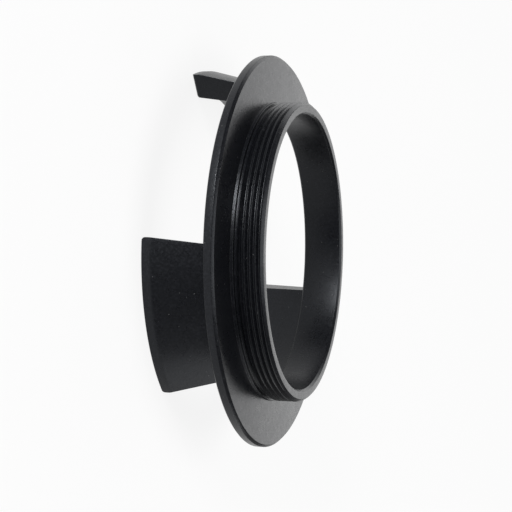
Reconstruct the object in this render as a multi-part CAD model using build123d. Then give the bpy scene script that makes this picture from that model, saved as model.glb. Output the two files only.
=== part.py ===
from build123d import *
from math import cos, radians, sin, sqrt, tan
import os

# A lens mount adapter: one ring of aluminium, turned and then milled, anodised black.
# A thin flange carries a short threaded nose on its front. On its back stand three
# flared arms that reach into the other mount. A plain bore lets the light through.
# The frame has its origin on the optical axis, in the plane of the flange's front face.
# +Z runs along the axis towards the nose, and +X through the middle of the first arm.
# The part stands on the three arm tips. All lengths are in millimetres.

# Flange
flange_diameter = 55.0
flange_thickness = 1.4
flange_front_chamfer = 0.35
flange_back_chamfer = 0.15

# Nose: a fine metric thread, 42 by 0.75, whose crests this model gives as a cylinder.
# The wall is measured from the crests to the bore.
thread_diameter = 42.0
thread_pitch = 0.75
nose_wall = 1.7
nose_length = 4.4
nose_front_chamfer = 0.4
shoulder_length = 0.4
relief_length = 0.84
relief_clearance = 0.05
relief_angle = 45.0

# Bore
bore_front_chamfer = 0.3
bore_back_chamfer = 0.2

# Arms: their root starts one step outside the bore, and they flare towards the tip.
# A short cylindrical land runs round the outside of each tip.
arm_count = 3
arm_reach = 9.0
arm_root_step = 1.45
arm_root_wall = 2.75
arm_tip_outer_diameter = 51.0
arm_tip_wall = 3.4
arm_land_length = 1.1
arm_tip_width = 22.2
arm_side_angle = 45.0
arm_root_radius = 0.3
arm_inner_tip_radius = 0.5
arm_corner_radius = 0.45

# The thread has the usual sixty-degree form, whose crest and root are flats
thread_depth = 0.6134 * thread_pitch

# Radii and levels that follow from the sizes above
flange_radius = flange_diameter / 2
thread_radius = thread_diameter / 2
bore_radius = thread_radius - nose_wall
relief_radius = thread_radius - thread_depth - relief_clearance
arm_root_inner_radius = bore_radius + arm_root_step
arm_root_outer_radius = arm_root_inner_radius + arm_root_wall
arm_tip_outer_radius = arm_tip_outer_diameter / 2
arm_tip_inner_radius = arm_tip_outer_radius - arm_tip_wall
back_level = -flange_thickness
tip_level = back_level - arm_reach


def ring_section():
    """Half section of the flange and nose, as radius along X and height along Y."""
    relief_start = shoulder_length
    relief_end = shoulder_length + relief_length
    relief_depth = thread_radius - relief_radius
    outline = Polyline(
        (bore_radius, back_level + bore_back_chamfer),
        (bore_radius + bore_back_chamfer, back_level),
        (flange_radius - flange_back_chamfer, back_level),
        (flange_radius, back_level + flange_back_chamfer),
        (flange_radius, -flange_front_chamfer),
        (flange_radius - flange_front_chamfer, 0),
        (thread_radius, 0),
        (thread_radius, relief_start),
        (relief_radius, relief_start),
        (relief_radius, relief_end - relief_depth * tan(radians(relief_angle))),
        (thread_radius, relief_end),
        (thread_radius, nose_length - nose_front_chamfer),
        (thread_radius - nose_front_chamfer, nose_length),
        (bore_radius + bore_front_chamfer, nose_length),
        (bore_radius, nose_length - bore_front_chamfer),
        close=True,
    )
    return make_face(outline)


def skirt_section():
    """Half section of the flared skirt that the arms are cut from, to halfway up the flange."""
    inside_flange = back_level / 2
    outline = Polyline(
        (arm_root_inner_radius, back_level),
        (arm_tip_inner_radius, tip_level),
        (arm_tip_outer_radius, tip_level),
        (arm_tip_outer_radius, tip_level + arm_land_length),
        (arm_root_outer_radius, back_level),
        (arm_root_outer_radius, inside_flange),
        (arm_root_inner_radius, inside_flange),
        close=True,
    )
    section = make_face(outline)
    inner_tip = section.vertices().group_by(Axis.Y)[0].sort_by(Axis.X)[0]
    return fillet(inner_tip, arm_inner_tip_radius)


def turned_blank():
    """The ring with its whole skirt, as it is before the gaps between the arms are milled."""
    section = ring_section() + skirt_section()
    back_corners = section.vertices().filter_by(lambda v: abs(v.Y - back_level) < 1e-6)
    inner_root = back_corners.sort_by(lambda v: abs(v.X - arm_root_inner_radius))[0]
    outer_root = back_corners.sort_by(lambda v: abs(v.X - arm_root_outer_radius))[0]
    section = fillet([inner_root, outer_root], arm_root_radius)
    return revolve(Plane.XZ * section, Axis.Z)


def arm_wedge_apex():
    """Distance from the axis at which the planes of an arm's two sides meet."""
    half_width = arm_tip_width / 2
    chord_distance = sqrt(arm_tip_outer_radius**2 - half_width**2)
    return chord_distance - half_width / tan(radians(arm_side_angle))


def arm_side_block(side):
    """A bar that keeps what lies inside one side of the first arm.

    Its section is a rectangle. One edge of it is the arm's side, and the corner where
    that side meets the tip is rounded.
    """
    along = Vector(cos(radians(arm_side_angle)), side * sin(radians(arm_side_angle)), 0)
    inward = Vector(sin(radians(arm_side_angle)), -side * cos(radians(arm_side_angle)), 0)
    apex = Vector(arm_wedge_apex(), 0, tip_level)
    bar_width = flange_diameter
    section_plane = Plane(origin=apex, x_dir=inward, z_dir=inward.cross(Vector(0, 0, 1)))
    section = Pos(bar_width / 2, arm_reach / 2) * Rectangle(bar_width, arm_reach)
    corner = section.vertices().sort_by(lambda v: v.X + v.Y)[0]
    section = fillet(corner, arm_corner_radius)
    return extrude(section_plane * section, amount=flange_diameter, dir=along, both=True)


def arms_envelope():
    """The space that the milling leaves behind the flange: one wedge for each arm."""
    wedge = arm_side_block(1) & arm_side_block(-1)
    return [Rot(0, 0, 360 / arm_count * i) * wedge for i in range(arm_count)]


def flange_envelope():
    """The space in front of the flange's back face, which the milling leaves alone."""
    height = nose_length + flange_thickness
    disc = Cylinder(flange_diameter, height, align=(Align.CENTER, Align.CENTER, Align.MIN))
    return Pos(0, 0, back_level) * disc


def adapter_body():
    """The finished ring: the turned blank inside the space that the milling leaves."""
    blank = turned_blank()
    body = blank & flange_envelope()
    for wedge in arms_envelope():
        body += blank & wedge
    return body


body = adapter_body()
print("solids", len(body.solids()), "volume", round(body.volume, 2))

os.makedirs("parts", exist_ok=True)
export_step(body, "parts/adapter_body.step")
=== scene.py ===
from math import atan2, ceil, cos, pi, radians, sin, sqrt, tan

import bmesh
import bpy
import numpy as np
from bpy.props import FloatProperty, FloatVectorProperty, IntProperty, PointerProperty
from mathutils import Matrix, Vector


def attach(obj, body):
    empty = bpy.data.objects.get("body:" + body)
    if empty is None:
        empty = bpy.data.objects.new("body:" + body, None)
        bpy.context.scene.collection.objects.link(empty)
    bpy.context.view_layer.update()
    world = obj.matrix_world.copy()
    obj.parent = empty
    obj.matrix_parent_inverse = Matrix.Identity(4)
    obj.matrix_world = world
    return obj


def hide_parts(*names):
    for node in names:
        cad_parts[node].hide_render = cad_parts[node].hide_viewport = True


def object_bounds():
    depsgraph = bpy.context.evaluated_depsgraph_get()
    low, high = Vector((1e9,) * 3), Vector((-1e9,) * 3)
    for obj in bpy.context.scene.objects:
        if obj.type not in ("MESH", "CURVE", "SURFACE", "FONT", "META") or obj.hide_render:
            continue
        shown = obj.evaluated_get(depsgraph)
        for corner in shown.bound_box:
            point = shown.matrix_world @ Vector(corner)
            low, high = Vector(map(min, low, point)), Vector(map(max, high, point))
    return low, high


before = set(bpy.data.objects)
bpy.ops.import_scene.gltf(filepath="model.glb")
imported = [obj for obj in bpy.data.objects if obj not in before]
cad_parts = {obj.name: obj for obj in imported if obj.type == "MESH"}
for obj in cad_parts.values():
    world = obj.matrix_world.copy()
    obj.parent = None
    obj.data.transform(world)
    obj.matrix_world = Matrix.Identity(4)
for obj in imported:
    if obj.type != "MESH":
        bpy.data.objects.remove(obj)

bl_info = {
    "name": "Lens mount adapter",
    "version": (1, 0, 0),
    "blender": (4, 5, 0),
    "location": "3D View > Sidebar > Adapter",
    "description": "A threaded ring with three flared arms, anodised black, and a pale studio for it",
    "category": "Object",
}

# Shapes are worked out in millimetres and written to the mesh in metres
MM = 0.001
CAD_BOX = [list(map(float, corner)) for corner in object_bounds()]

# The steps of an arc, and the angle from which an edge is shown sharp
ARC_STEP = radians(15)
SHARP_ANGLE = radians(20)

# Points round the ring, along and across an arm's cut face, from side to side of an arm,
# and over the broken edge of its cut face
RING_POINTS = 360
ARM_LONG_POINTS, ARM_SHORT_POINTS = 56, 10
ARM_ACROSS_POINTS = 49
ARM_EDGE_POINTS = 9

# How much an arm's points crowd towards root and tip: 0 is even, 1 the most
ARM_CROWDING = 0.93

# The thread's form: depth and half the groove's mouth as shares of the pitch, and half the vee
THREAD_DEPTH = 0.6134
THREAD_HALF_MOUTH = 7 / 16
THREAD_HALF_ANGLE = radians(30)

# The thread cutter, in millimetres: how far it stands proud of the crests, how far its first
# turn clears the shoulder and its last the nose, and what it draws back beyond the depth
CUTTER_PROUD = 0.3
CUTTER_FIRST_GAP, CUTTER_LAST_GAP = 0.02, 0.1
CUTTER_DRAW_BACK = 0.05
RUN_OUT_TURNS = 0.16

# An arm's root, in millimetres: how far its fillet stands inside the flange, and how far the
# section is first drawn to each side so that the fillet has a line to end on
ROOT_SINK = 0.004
ROOT_SPAN = 2.0

# Distances in millimetres within which points are one, or an edge has no length
SHELL_MERGE, SHELL_SHORTEST = 1e-5, 1e-6
FINAL_MERGE, FINAL_SHORTEST = 2e-5, 2e-6

# The finish: features of each pattern in a millimetre, how many times closer the feed marks lie
# on the faces than on the walls, and the refraction, which sets how much light a face returns
MOTTLE_SCALE, CLOUD_SCALE, SPECK_SCALE = 1.1, 0.14, 2.2
FEED_SLOPE = 1.37
REFRACTION = 1.33

# The studio: name, size in metres, watts, azimuth and elevation in degrees, distance in metres
LAMPS = (
    ("top_light", (0.70, 0.70), 4.6, (0, 90), 0.90),
    ("side_light", (0.24, 0.16), 6.5, (60, 6.0), 0.70),
    ("far_light", (1.40, 0.55), 3.6, (-65, 18), 1.00),
    ("low_light", (0.80, 0.36), 2.4, (195, 14), 0.80),
)
WORLD_STRENGTH = 0.15
FLOOR_OWN_LIGHT = 0.87
FLOOR_ROUGHNESS = 0.7


def length(name, millimetres, description):
    """A length property whose default is given in millimetres."""
    return FloatProperty(
        name=name, description=description, default=millimetres * MM,
        subtype="DISTANCE", unit="LENGTH", precision=5,
    )


def angle(name, degrees, description):
    """An angle property whose default is given in degrees."""
    return FloatProperty(
        name=name, description=description, default=radians(degrees), subtype="ANGLE", unit="ROTATION"
    )


def plain(name, value, description):
    """A property that is a plain number."""
    return FloatProperty(name=name, description=description, default=value)


def colour(name, value, description):
    """A colour property."""
    return FloatVectorProperty(
        name=name, description=description, default=value, subtype="COLOR", size=3, min=0.0, max=1.0
    )


def mm(metres):
    """A length property's value in millimetres, without the rounding of its short number."""
    return round(metres / MM, 5)


class AdapterRingSizes(bpy.types.PropertyGroup):
    flange_diameter: length("Flange diameter", 55.0, "Across the rim of the flange")
    flange_thickness: length("Flange thickness", 1.4, "From the flange's front face to its back face")
    rim_front_chamfer: length("Rim front chamfer", 0.35, "Chamfer on the front of the rim")
    rim_back_chamfer: length("Rim back chamfer", 0.15, "Chamfer on the back of the rim")
    thread_diameter: length("Thread diameter", 42.0, "Across the crests of the thread")
    thread_pitch: length("Thread pitch", 0.75, "From one crest to the next")
    groove_height: length("Groove height", 0.53, "Middle of the lowest groove above the face, at +X")
    bore_diameter: length("Bore diameter", 38.6, "Across the bore")
    nose_length: length("Nose length", 4.4, "From the flange's front face to the end of the nose")
    nose_chamfer: length("Nose chamfer", 0.4, "Lead-in chamfer of the thread")
    shoulder_length: length("Shoulder length", 0.4, "Plain land between the flange and the relief groove")
    relief_length: length("Relief length", 0.84, "Length of the groove that the thread runs out into")
    relief_clearance: length("Relief clearance", 0.05, "How far the relief lies below the thread's root")
    relief_angle: angle("Relief angle", 45.0, "Slope of the relief's front side")
    bore_front_chamfer: length("Bore front chamfer", 0.3, "Chamfer at the front of the bore")
    bore_back_chamfer: length("Bore back chamfer", 0.2, "Chamfer at the back of the bore")
    edge_break: length("Edge break", 0.05, "Radius left on the turned edges by the blasting")


class AdapterArmSizes(bpy.types.PropertyGroup):
    count: IntProperty(name="Arms", description="Number of arms round the back of the flange", default=3)
    reach: length("Reach", 9.0, "From the flange's back face to the arm tips")
    root_inner_radius: length("Root inner radius", 20.75, "Inside of an arm at the flange's back face")
    root_outer_radius: length("Root outer radius", 23.5, "Outside of an arm at the flange's back face")
    tip_inner_radius: length("Tip inner radius", 22.1, "Inside of an arm at its tip")
    tip_outer_radius: length("Tip outer radius", 25.5, "Outside of an arm at its tip")
    land_length: length("Land length", 1.1, "Cylindrical band round the outside of the tip")
    tip_width: length("Tip width", 22.2, "Straight across the outer corners of the tip")
    side_angle: angle("Side angle", 45.0, "Between an arm's side and its middle plane")
    root_radius: length("Root radius", 0.3, "Fillet between an arm and the flange")
    inner_tip_radius: length("Inner tip radius", 0.5, "Round on the inner edge of the tip")
    corner_radius: length("Corner radius", 0.45, "Round where a side meets the tip")
    edge_break: length("Edge break", 0.07, "Radius left on the milled edges by the blasting")


class AdapterFinish(bpy.types.PropertyGroup):
    black: colour("Black", (0.0034, 0.0037, 0.0048), "The dyed anodic layer")
    bloom: colour("Bloom", (0.0100, 0.0106, 0.0130), "The paler bloom in the blasted grain")
    speck: colour("Speck", (0.20, 0.20, 0.20), "Fine pale dust and bare points of metal")
    sheen: colour("Sheen", (0.90, 0.94, 1.0), "The cool tint of what the surface reflects")
    roughness: plain("Roughness", 0.30, "Middle roughness of the surface")
    grain: length("Grain", 0.28, "Size of the blasted grain")
    grain_height: length("Grain height", 0.011, "Height of the blasted grain")
    feed: length("Feed", 0.06, "From one turning mark to the next")
    feed_height: length("Feed height", 0.0015, "Height of the turning marks")


class AdapterStudio(bpy.types.PropertyGroup):
    floor_colour: colour("Floor", (0.86, 0.86, 0.86), "The pale floor")
    floor_size: length("Floor size", 4000.0, "Side of the floor")
    camera_azimuth: angle("Camera azimuth", 97.490, "Direction of the camera, from +X towards +Y")
    camera_elevation: angle("Camera elevation", 17.561, "Height of the camera above the flange")
    camera_roll: angle("Camera roll", 91.089, "Turn of the camera about its own line of sight")
    camera_distance: length("Camera distance", 209.056, "From the camera to the point that it aims at")
    aim_right: length("Aim right", -2.992, "Aim point from the origin, to the picture's right")
    aim_up: length("Aim up", -0.637, "Aim point from the origin, upwards in the picture")
    focal_length: plain("Focal length", 103.93, "Focal length in millimetres on a 36 mm sensor")


def unit(vector):
    """The vector at length one."""
    return vector / np.linalg.norm(vector)


def rounded_profile(corners):
    """Closed profile through corners (x, y, radius), with an arc at each corner that has a radius.

    The arc touches both sides of its corner: its ends lie radius / tan(half the corner's angle)
    from it, and its centre radius / sin(half the angle) from it along the bisector.
    """
    places = np.array([corner[:2] for corner in corners], dtype=float)
    pieces = []
    for i, (x, y, radius) in enumerate(corners):
        place = places[i]
        if radius <= 0:
            pieces.append(place[None])
            continue
        before = unit(places[i - 1] - place)
        after = unit(places[(i + 1) % len(corners)] - place)
        half = np.arccos(np.clip(before @ after, -1, 1)) / 2
        centre = place + unit(before + after) * radius / sin(half)
        first = place + before * radius / tan(half) - centre
        last = place + after * radius / tan(half) - centre
        start = atan2(first[1], first[0])
        sweep = (atan2(last[1], last[0]) - start + pi) % (2 * pi) - pi
        turn = start + sweep * np.linspace(0, 1, ceil(abs(sweep) / ARC_STEP) + 1)
        pieces.append(centre + radius * np.stack([np.cos(turn), np.sin(turn)], axis=1))
    return np.concatenate(pieces)


def grid_faces(rows, columns, wrap_rows=False, wrap_columns=False):
    """Four-cornered faces between neighbouring points of a grid that is stored row by row."""
    row = np.arange(rows if wrap_rows else rows - 1)[:, None]
    column = np.arange(columns if wrap_columns else columns - 1)[None, :]
    below, beside = (row + 1) % rows, (column + 1) % columns
    corners = [
        row * columns + column, row * columns + beside,
        below * columns + beside, below * columns + column,
    ]
    return np.stack(corners, axis=-1).reshape(-1, 4)


def turned_shell(profile, columns):
    """Points and faces of a closed profile of (radius, height) turned once round the axis.

    Point (i, j) is (radius_i cos a_j, radius_i sin a_j, height_i), with a_j = 2 pi j / columns.
    """
    turn = 2 * pi * np.arange(columns) / columns
    radius, height = profile[:, :1], profile[:, 1:]
    points = np.stack([radius * np.cos(turn), radius * np.sin(turn), height + 0 * turn], axis=-1)
    return points.reshape(-1, 3), grid_faces(len(profile), columns, True, True).tolist()


def ring_profile(ring):
    """Closed profile of the flange and nose, with the nose still a plain cylinder at the crests."""
    edge = mm(ring.edge_break)
    bore = mm(ring.bore_diameter) / 2
    rim = mm(ring.flange_diameter) / 2
    crest = mm(ring.thread_diameter) / 2
    root = crest - thread_depth(ring)
    relief = root - mm(ring.relief_clearance)
    back = -mm(ring.flange_thickness)
    front = mm(ring.nose_length)
    shoulder = mm(ring.shoulder_length)
    relief_end = shoulder + mm(ring.relief_length)
    slope = (crest - relief) * tan(ring.relief_angle)
    rim_front, rim_back = mm(ring.rim_front_chamfer), mm(ring.rim_back_chamfer)
    bore_front, bore_back = mm(ring.bore_front_chamfer), mm(ring.bore_back_chamfer)
    lead = mm(ring.nose_chamfer)
    return rounded_profile([
        (bore, back + bore_back, edge),
        (bore + bore_back, back, edge),
        (rim - rim_back, back, edge),
        (rim, back + rim_back, edge),
        (rim, -rim_front, edge),
        (rim - rim_front, 0, edge),
        (crest, 0, edge),
        (crest, shoulder, edge * 1.6),
        (relief, shoulder, edge),
        (relief, relief_end - slope, edge),
        (crest, relief_end, edge / 2),
        (crest, front - lead, edge / 2),
        (crest - lead, front, edge / 2),
        (bore + bore_front, front, edge),
        (bore, front - bore_front, edge),
    ])


def thread_depth(ring):
    """Depth of a sixty-degree thread whose crest is an eighth of the pitch wide."""
    return THREAD_DEPTH * mm(ring.thread_pitch)


def thread_cutter(ring, columns):
    """Points and faces of the tool's path: the groove's section carried along a helix.

    A point at turn t has height groove height + pitch * t and angle 2 pi t. The section is a
    sixty-degree vee with a rounded root. It starts clear of the nose's end, and over its last
    part it draws back with the square of the way, so that the groove fades into the relief.
    """
    pitch = mm(ring.thread_pitch)
    depth = thread_depth(ring)
    crest = mm(ring.thread_diameter) / 2
    half_mouth = pitch * THREAD_HALF_MOUTH
    half_root = half_mouth - depth * tan(THREAD_HALF_ANGLE)
    section = rounded_profile([
        (crest - depth, -half_root, half_root),
        (crest - depth, half_root, half_root),
        (crest, half_mouth, 0),
        (crest + CUTTER_PROUD, half_mouth, 0),
        (crest + CUTTER_PROUD, -half_mouth, 0),
        (crest, -half_mouth, 0),
    ])
    groove = mm(ring.groove_height)
    first_height = mm(ring.shoulder_length) + half_mouth + CUTTER_FIRST_GAP
    last_height = mm(ring.nose_length) + half_mouth + CUTTER_LAST_GAP
    first, last = (first_height - groove) / pitch, (last_height - groove) / pitch
    steps = ceil((last - first) * columns)
    turns = np.linspace(first, last, steps + 1)[:, None]
    run_out = np.clip(1 - (turns - first) / RUN_OUT_TURNS, 0, 1)
    draw_back = (depth + CUTTER_DRAW_BACK) * run_out ** 2
    radius = section[None, :, 0] + draw_back
    height = section[None, :, 1] + groove + pitch * turns
    way_round = 2 * pi * turns
    points = np.stack([radius * np.cos(way_round), radius * np.sin(way_round), height], axis=-1)
    count = len(section)
    faces = grid_faces(steps + 1, count, False, True).tolist()
    faces.append(list(range(count))[::-1])
    faces.append(list(range(steps * count, (steps + 1) * count)))
    return points.reshape(-1, 3), faces


def spread(start, end, count):
    """Points evenly along a straight line."""
    return np.asarray(start) + (np.asarray(end) - np.asarray(start)) * np.linspace(0, 1, count)[:, None]


def arm_profile(arm, back, tip):
    """The outer and the inner side of an arm's section, each from the root down to the tip.

    The corners are rounded, and the root reaches to half the flange's thickness.
    """
    edge = mm(arm.edge_break)
    half = back / 2
    root_in, root_out = mm(arm.root_inner_radius), mm(arm.root_outer_radius)
    tip_in, tip_out = mm(arm.tip_inner_radius), mm(arm.tip_outer_radius)
    land = tip + mm(arm.land_length)
    fillet = mm(arm.root_radius)
    root = back + ROOT_SINK
    outer = rounded_profile([
        (root_out + ROOT_SPAN, half, 0), (root_out + ROOT_SPAN, root, 0), (root_out, root, fillet),
        (tip_out, land, 4 * edge), (tip_out, tip, 1.3 * edge), (tip_in, tip, mm(arm.inner_tip_radius)),
        (root_in, root, fillet), (root_in - ROOT_SPAN, root, 0), (root_in - ROOT_SPAN, half, 0),
    ])[2:-2]
    top = np.array([[outer[0, 0], half], [outer[-1, 0], half]])
    tip_places = np.flatnonzero(np.abs(outer[:, 1] - tip) < 1e-6)
    outer_end, inner_start = tip_places[0], tip_places[-1]
    outer_side = np.concatenate([top[:1], outer[:outer_end + 1]])
    inner_side = np.concatenate([outer[inner_start:], top[1:]])[::-1]
    return outer_side, inner_side


def inset_loop(loop, distance):
    """A closed loop moved inwards by a distance, each point along the bisector of its corner."""
    before = loop - np.roll(loop, 1, axis=0)
    after = np.roll(loop, -1, axis=0) - loop
    before /= np.linalg.norm(before, axis=1)[:, None]
    after /= np.linalg.norm(after, axis=1)[:, None]
    middle = before + after
    middle /= np.linalg.norm(middle, axis=1)[:, None]
    normal = np.stack([-middle[:, 1], middle[:, 0]], axis=1)
    stretch = 1 / np.maximum(np.sum(middle * after, axis=1), 0.5)
    area = np.sum(loop[:, 0] * np.roll(loop[:, 1], -1) - loop[:, 1] * np.roll(loop[:, 0], -1))
    return loop + np.sign(area) * distance * stretch[:, None] * normal


def arm_shell(arm, flange_thickness, middle):
    """Points and faces of one arm, a closed shell.

    The section is swept about the axis between the arm's two sides. At radius r and height z a
    side lies at the angle where r sin(side angle - a) equals the apex distance * sin(side angle)
    plus the side's setback, which near the tip follows the corner's quarter circle. Over the
    edge break the section shrinks by b (1 - cos q) while the setback falls as b (1 - sin q).
    The cut face fills the shrunk section as a patch between its four sides.
    """
    back = -flange_thickness
    tip = back - mm(arm.reach)
    edge = mm(arm.edge_break)
    corner = mm(arm.corner_radius)
    side = arm.side_angle
    half_width = mm(arm.tip_width) / 2
    apex = sqrt(mm(arm.tip_outer_radius) ** 2 - half_width ** 2) - half_width / tan(side)

    def side_angle_at(section, setback):
        rise = np.clip(section[..., 1] - tip, 0, corner)
        inward = corner - np.sqrt(np.maximum(corner ** 2 - (corner - rise) ** 2, 0))
        reach = (apex * sin(side) + inward + setback) / section[..., 0]
        return side - np.arcsin(reach)

    outer_side, inner_side = arm_profile(arm, back, tip)
    outer_side = along_arm(outer_side, ARM_LONG_POINTS)
    inner_side = along_arm(inner_side, ARM_LONG_POINTS)
    tip_side = spread(outer_side[-1], inner_side[-1], ARM_SHORT_POINTS)
    root_side = spread(outer_side[0], inner_side[0], ARM_SHORT_POINTS)
    loop = np.concatenate([outer_side, tip_side[1:-1], inner_side[::-1], root_side[::-1][1:-1]])

    quarter = np.linspace(0, pi / 2, ARM_EDGE_POINTS)
    shrunk = [inset_loop(loop, edge * (1 - cos(q))) for q in quarter]
    ends = [side_angle_at(shrunk[i], edge * (1 - sin(q))) for i, q in enumerate(quarter)]
    across = np.linspace(-1, 1, ARM_ACROSS_POINTS)
    sections = [shrunk[i] for i in range(len(quarter) - 1, 0, -1)]
    angles = [-ends[i] for i in range(len(quarter) - 1, 0, -1)]
    sections += [loop] * len(across)
    angles += [ends[0] * share for share in across]
    sections += shrunk[1:]
    angles += ends[1:]
    sections, angles = np.array(sections), np.array(angles)

    count = len(loop)
    faces = grid_faces(len(sections), count, False, True)
    patch, patch_faces = cut_face_patch(shrunk[-1], ARM_LONG_POINTS, ARM_SHORT_POINTS)
    patch_angle = side_angle_at(patch, 0.0)
    starts = len(sections) * count
    first_cap = patch_faces + starts
    second_cap = patch_faces[:, ::-1] + starts + len(patch)
    all_sections = np.concatenate([sections.reshape(-1, 2), patch, patch])
    all_angles = np.concatenate([angles.ravel(), -patch_angle, patch_angle]) + middle
    radius, height = all_sections.T
    points = np.stack([radius * np.cos(all_angles), radius * np.sin(all_angles), height], axis=1)
    return points, np.concatenate([faces, first_cap, second_cap]).tolist()


def along_arm(path, count):
    """One side of the arm's section resampled, with steps that shorten towards root and tip."""
    steps = np.hypot(*np.diff(path, axis=0).T)
    way = np.concatenate([[0], np.cumsum(steps)])
    share = np.linspace(0, 1, count)
    eased = share - ARM_CROWDING * np.sin(2 * pi * share) / (2 * pi)
    wanted = eased * way[-1]
    return np.stack([np.interp(wanted, way, path[:, 0]), np.interp(wanted, way, path[:, 1])], axis=1)


def cut_face_patch(loop, long_count, short_count):
    """A grid that fills a loop of four sides: the sum of the two rulings less the corners' own."""
    outer = loop[:long_count]
    tip = loop[long_count - 1:long_count + short_count - 1]
    inner = loop[long_count + short_count - 2:2 * long_count + short_count - 2][::-1]
    root = np.concatenate([loop[:1], loop[2 * long_count + short_count - 2:][::-1], inner[:1]])
    v = np.linspace(0, 1, short_count)[None, :, None]
    # Root and tip blend by the true share of the way along the outer side
    way = np.concatenate([[0], np.cumsum(np.hypot(*np.diff(outer, axis=0).T))])
    u = (way / way[-1])[:, None, None]
    ruled = (1 - v) * outer[:, None] + v * inner[:, None] + (1 - u) * root[None] + u * tip[None]
    corners = (1 - u) * ((1 - v) * root[0] + v * root[-1]) + u * ((1 - v) * tip[0] + v * tip[-1])
    patch = ruled - corners
    return patch.reshape(-1, 2), grid_faces(long_count, short_count)


def shell_object(name, points, faces):
    """A mesh object of one closed shell, its doubles merged and its faces pointing outwards."""
    mesh = bpy.data.meshes.new(name)
    mesh.from_pydata(points.tolist(), [], faces)
    work = bmesh.new()
    work.from_mesh(mesh)
    bmesh.ops.remove_doubles(work, verts=work.verts, dist=SHELL_MERGE)
    bmesh.ops.dissolve_degenerate(work, edges=work.edges, dist=SHELL_SHORTEST)
    bmesh.ops.recalc_face_normals(work, faces=work.faces)
    if work.calc_volume(signed=True) < 0:
        bmesh.ops.reverse_faces(work, faces=work.faces)
    open_edges = sum(1 for edge in work.edges if not edge.is_manifold)
    work.to_mesh(mesh)
    work.free()
    if open_edges:
        raise RuntimeError(f"{name} has {open_edges} open edges")
    thing = bpy.data.objects.new(name, mesh)
    bpy.context.collection.objects.link(thing)
    return thing


def combine(thing, tool, operation):
    """Cuts a tool's shape from a shell or joins it on, and removes the tool."""
    modifier = thing.modifiers.new("combine", "BOOLEAN")
    modifier.operation = operation
    modifier.solver = "MANIFOLD"
    modifier.object = tool
    shape = thing.evaluated_get(bpy.context.evaluated_depsgraph_get())
    mesh = bpy.data.meshes.new_from_object(shape)
    thing.modifiers.remove(modifier)
    thing.data = mesh
    bpy.data.objects.remove(tool)


class Signal:
    """A node's output, with signs of arithmetic that add Math nodes."""

    def __init__(self, web, socket):
        self.web, self.socket = web, socket

    def math(self, operation, *others, first=None):
        """Adds a Math node on this signal, or on another first value."""
        values = [self if first is None else first, *others]
        return self.web.node("ShaderNodeMath", {"operation": operation}, dict(enumerate(values)))

    def __add__(self, other):
        return self.math("ADD", other)

    def __sub__(self, other):
        return self.math("SUBTRACT", other)

    def __rsub__(self, other):
        return self.math("SUBTRACT", self, first=other)

    def __mul__(self, other):
        return self.math("MULTIPLY", other)

    def __truediv__(self, other):
        return self.math("DIVIDE", other)

    def __pow__(self, other):
        return self.math("POWER", other)

    __radd__, __rmul__ = __add__, __mul__


class Web:
    """The node tree of a material or of the world."""

    def __init__(self, tree):
        self.tree = tree
        tree.nodes.clear()

    def node(self, kind, settings=None, inputs=None, output=0):
        """Adds a node, gives it its settings, then its sockets' values or links."""
        made = self.tree.nodes.new(kind)
        for name, value in (settings or {}).items():
            setattr(made, name, value)
        for name, value in (inputs or {}).items():
            if isinstance(value, Signal):
                self.tree.links.new(value.socket, made.inputs[name])
            else:
                made.inputs[name].default_value = value
        if not made.outputs:
            return made
        return Signal(self, made.outputs[output])

    def ramp(self, value, low, high):
        """Rises smoothly from 0 at low to 1 at high."""
        settings = {"interpolation_type": "SMOOTHSTEP"}
        return self.node("ShaderNodeMapRange", settings, {"Value": value, "From Min": low, "From Max": high})

    def blend(self, share, first, second):
        """Mixes two colours by a share."""
        inputs = {"Factor": share, 6: first, 7: second}
        return self.node("ShaderNodeMix", {"data_type": "RGBA"}, inputs, output=2)


def new_material(name):
    """An empty node material and its web."""
    material = bpy.data.materials.new(name)
    material.use_nodes = True
    return material, Web(material.node_tree)


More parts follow.
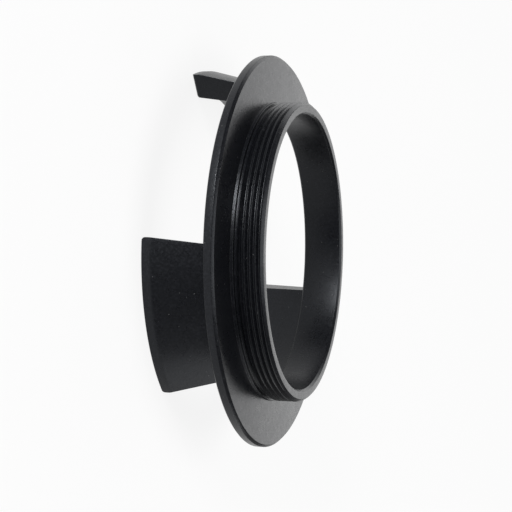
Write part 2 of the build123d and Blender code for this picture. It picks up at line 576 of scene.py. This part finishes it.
def anodised_black(finish):
    """Black anodised aluminium over a blasted surface, with faint feed marks and pale specks."""
    material, web = new_material("anodised_black")
    place = web.node("ShaderNodeTexCoord", output=3)
    scaled = web.node("ShaderNodeVectorMath", {"operation": "SCALE"}, {0: place, "Scale": 1 / MM})
    parts = web.node("ShaderNodeSeparateXYZ", inputs={0: scaled})
    x, y, z = (Signal(web, socket) for socket in parts.socket.node.outputs)
    radius = (x * x + y * y) ** 0.5

    def noise(scale, detail, rough):
        """A cloudy pattern through the solid, of so many features in a millimetre."""
        inputs = {"Vector": scaled, "Scale": scale, "Detail": detail, "Roughness": rough}
        return web.node("ShaderNodeTexNoise", {"noise_dimensions": "3D"}, inputs)

    grain = noise(1 / mm(finish.grain), 3.0, 0.6)
    mottle = noise(MOTTLE_SCALE, 2.0, 0.6)
    cloud = noise(CLOUD_SCALE, 3.0, 0.55)

    # Points of a cell pattern, of which only the few whose own number is high become specks
    cell_settings = {"voronoi_dimensions": "3D", "feature": "F1"}
    cells = web.node("ShaderNodeTexVoronoi", cell_settings, {"Vector": scaled, "Scale": SPECK_SCALE})
    cell_colour = Signal(web, cells.socket.node.outputs["Color"])
    chance = web.node("ShaderNodeSeparateColor", inputs={0: cell_colour})
    speck = web.ramp(chance, 0.90, 0.995) * (1 - web.ramp(cells, 0.05, 0.16))

    # Feed marks of the lathe, which run round the axis on the walls and on the faces
    feed_way = (z + FEED_SLOPE * radius) / mm(finish.feed)
    feed_inputs = {"W": feed_way, "Scale": 1.0, "Detail": 1.0, "Roughness": 0.5}
    feed_marks = web.node("ShaderNodeTexNoise", {"noise_dimensions": "1D"}, feed_inputs)

    bloom = web.ramp(grain, 0.42, 0.74) * (0.35 + 0.65 * web.ramp(cloud, 0.35, 0.65))
    layer = web.blend(bloom, (*finish.black, 1), (*finish.bloom, 1))
    shade = web.blend(speck * 0.8, layer, (*finish.speck, 1))
    rough = finish.roughness + (mottle - 0.5) * 0.12 + (grain - 0.5) * 0.16 + (cloud - 0.5) * 0.08
    turned = web.node(
        "ShaderNodeBump", {}, {"Strength": 1.0, "Distance": finish.feed_height, "Height": feed_marks}
    )
    relief = grain + mottle * 0.35 + speck * 0.6
    height = web.node("ShaderNodeBump", {}, {
        "Strength": 1.0, "Distance": finish.grain_height, "Height": relief, "Normal": turned,
    })
    inputs = {
        "Base Color": shade, "Roughness": rough, "Metallic": 0.0, "IOR": REFRACTION, "Normal": height,
        "Specular IOR Level": 0.5, "Specular Tint": (*finish.sheen, 1),
    }
    surface = web.node("ShaderNodeBsdfPrincipled", {}, inputs)
    web.node("ShaderNodeOutputMaterial", {}, {"Surface": surface})
    return material


def pale_floor(studio):
    """Matt pale floor. What is seen of it is mostly its own light, so that the shadow stays soft."""
    material, web = new_material("pale_floor")
    seen = web.node("ShaderNodeLightPath", output="Is Camera Ray")
    mirrored = Signal(web, seen.socket.node.outputs["Is Glossy Ray"])
    passed = Signal(web, seen.socket.node.outputs["Is Transmission Ray"])
    matt = web.node("ShaderNodeBsdfPrincipled", {}, {
        "Base Color": (*studio.floor_colour, 1), "Roughness": FLOOR_ROUGHNESS, "Specular IOR Level": 0.0,
    })
    glow = web.node("ShaderNodeEmission", {}, {"Color": (1, 1, 1, 1), "Strength": 1.0})
    share = (seen + mirrored + passed) * FLOOR_OWN_LIGHT
    surface = web.node("ShaderNodeMixShader", {}, {"Fac": share, 1: matt, 2: glow})
    web.node("ShaderNodeOutputMaterial", {}, {"Surface": surface})
    return material


def finish_shell(piece):
    """Brings a finished shell to metres, checks that it is closed and sets its sharp edges."""
    work = bmesh.new()
    work.from_mesh(piece.data)
    bmesh.ops.remove_doubles(work, verts=work.verts, dist=FINAL_MERGE)
    bmesh.ops.dissolve_degenerate(work, edges=work.edges, dist=FINAL_SHORTEST)
    bmesh.ops.triangulate(work, faces=[f for f in work.faces if len(f.verts) > 4])
    open_edges = sum(1 for edge in work.edges if not edge.is_manifold)
    volume = work.calc_volume(signed=True)
    work.to_mesh(piece.data)
    work.free()
    if open_edges or volume < 0:
        raise RuntimeError(f"{piece.name}: {open_edges} open edges, volume {volume}")
    mesh = piece.data
    places = np.empty(3 * len(mesh.vertices), dtype=np.float32)
    mesh.vertices.foreach_get("co", places)
    mesh.vertices.foreach_set("co", places * MM)
    mesh.polygons.foreach_set("use_smooth", [True] * len(mesh.polygons))
    mesh.polygons.foreach_set("material_index", [0] * len(mesh.polygons))
    mesh.set_sharp_from_angle(angle=SHARP_ANGLE)
    mesh.update()


class ADAPTER_OT_ring(bpy.types.Operator):
    """Builds the ring with its flange, bore, threaded nose and arms as one shell"""

    bl_idname = "adapter.ring"
    bl_label = "Adapter ring"

    def execute(self, context):
        scene = context.scene
        ring, arm = scene.adapter_ring_sizes, scene.adapter_arm_sizes
        piece = shell_object("adapter_ring", *turned_shell(ring_profile(ring), RING_POINTS))
        cutter = shell_object("thread_cutter", *thread_cutter(ring, RING_POINTS))
        combine(piece, cutter, "DIFFERENCE")
        thickness = mm(ring.flange_thickness)
        for i in range(arm.count):
            shell = arm_shell(arm, thickness, 2 * pi * i / arm.count)
            combine(piece, shell_object("arm", *shell), "UNION")
        piece.data.materials.clear()
        piece.data.materials.append(anodised_black(scene.adapter_finish))
        finish_shell(piece)
        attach(piece, "root")
        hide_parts("adapter_body")
        return {"FINISHED"}


def area_light(name, size, power, direction, distance):
    """A soft oblong light that looks at the object from a direction (azimuth, elevation)."""
    lamp = bpy.data.lights.new(name, "AREA")
    lamp.shape = "RECTANGLE"
    lamp.size, lamp.size_y = size
    lamp.energy = power
    thing = bpy.data.objects.new(name, lamp)
    azimuth, elevation = map(radians, direction)
    away = Vector((cos(elevation) * cos(azimuth), cos(elevation) * sin(azimuth), sin(elevation)))
    thing.location = away * distance
    thing.rotation_euler = away.to_track_quat("Z", "Y").to_euler()
    thing.visible_camera = False
    bpy.context.collection.objects.link(thing)


class ADAPTER_OT_studio(bpy.types.Operator):
    """Builds the floor, the soft lights, the world and the camera"""

    bl_idname = "adapter.studio"
    bl_label = "Studio"

    def execute(self, context):
        scene = context.scene
        studio = scene.adapter_studio
        level = CAD_BOX[0][2]
        half = studio.floor_size / 2
        mesh = bpy.data.meshes.new("floor")
        corners = [(x, y, level) for x, y in ((-half, -half), (half, -half), (half, half), (-half, half))]
        mesh.from_pydata(corners, [], [(0, 1, 2, 3)])
        floor = bpy.data.objects.new("floor", mesh)
        scene.collection.objects.link(floor)
        mesh.materials.append(pale_floor(studio))

        for lamp in LAMPS:
            area_light(*lamp)

        world = bpy.data.worlds.new("studio")
        scene.world = world
        world.use_nodes = True
        web = Web(world.node_tree)
        sky = web.node("ShaderNodeBackground", {}, {"Color": (1, 1, 1, 1), "Strength": WORLD_STRENGTH})
        web.node("ShaderNodeOutputWorld", {}, {"Surface": sky})

        back = Vector((
            cos(studio.camera_elevation) * cos(studio.camera_azimuth),
            cos(studio.camera_elevation) * sin(studio.camera_azimuth),
            sin(studio.camera_elevation),
        ))
        level_right = Vector((0, 0, 1)).cross(back).normalized()
        level_up = back.cross(level_right)
        roll = studio.camera_roll
        right = cos(roll) * level_right + sin(roll) * level_up
        up = cos(roll) * level_up - sin(roll) * level_right
        place = studio.aim_right * right + studio.aim_up * up + studio.camera_distance * back
        camera = bpy.data.cameras.new("camera")
        camera.sensor_width = 36.0
        camera.lens = studio.focal_length
        camera.clip_start, camera.clip_end = 0.01, 20.0
        thing = bpy.data.objects.new("camera", camera)
        scene.collection.objects.link(thing)
        turn = Matrix((right, up, back)).transposed()
        thing.matrix_world = Matrix.Translation(place) @ turn.to_4x4()
        scene.camera = thing
        scene.view_settings.view_transform = "Standard"
        return {"FINISHED"}


class ADAPTER_PT_panel(bpy.types.Panel):
    """The adapter's pieces and its studio"""

    bl_idname = "ADAPTER_PT_panel"
    bl_label = "Lens mount adapter"
    bl_space_type = "VIEW_3D"
    bl_region_type = "UI"
    bl_category = "Adapter"

    def draw(self, context):
        for operator in OPERATORS:
            self.layout.operator(operator.bl_idname)


GROUPS = {
    "adapter_ring_sizes": AdapterRingSizes,
    "adapter_arm_sizes": AdapterArmSizes,
    "adapter_finish": AdapterFinish,
    "adapter_studio": AdapterStudio,
}
OPERATORS = (ADAPTER_OT_ring, ADAPTER_OT_studio)


def register():
    """Registers the sizes, the operators and the panel."""
    for name, group in GROUPS.items():
        bpy.utils.register_class(group)
        setattr(bpy.types.Scene, name, PointerProperty(type=group))
    for entry in (*OPERATORS, ADAPTER_PT_panel):
        bpy.utils.register_class(entry)


def unregister():
    """Takes away what register added."""
    for entry in (ADAPTER_PT_panel, *reversed(OPERATORS)):
        bpy.utils.unregister_class(entry)
    for name, group in reversed(GROUPS.items()):
        delattr(bpy.types.Scene, name)
        bpy.utils.unregister_class(group)


def main():
    """Builds the adapter and its studio."""
    register()
    bpy.ops.adapter.ring()
    bpy.ops.adapter.studio()


if __name__ == "__main__":
    main()
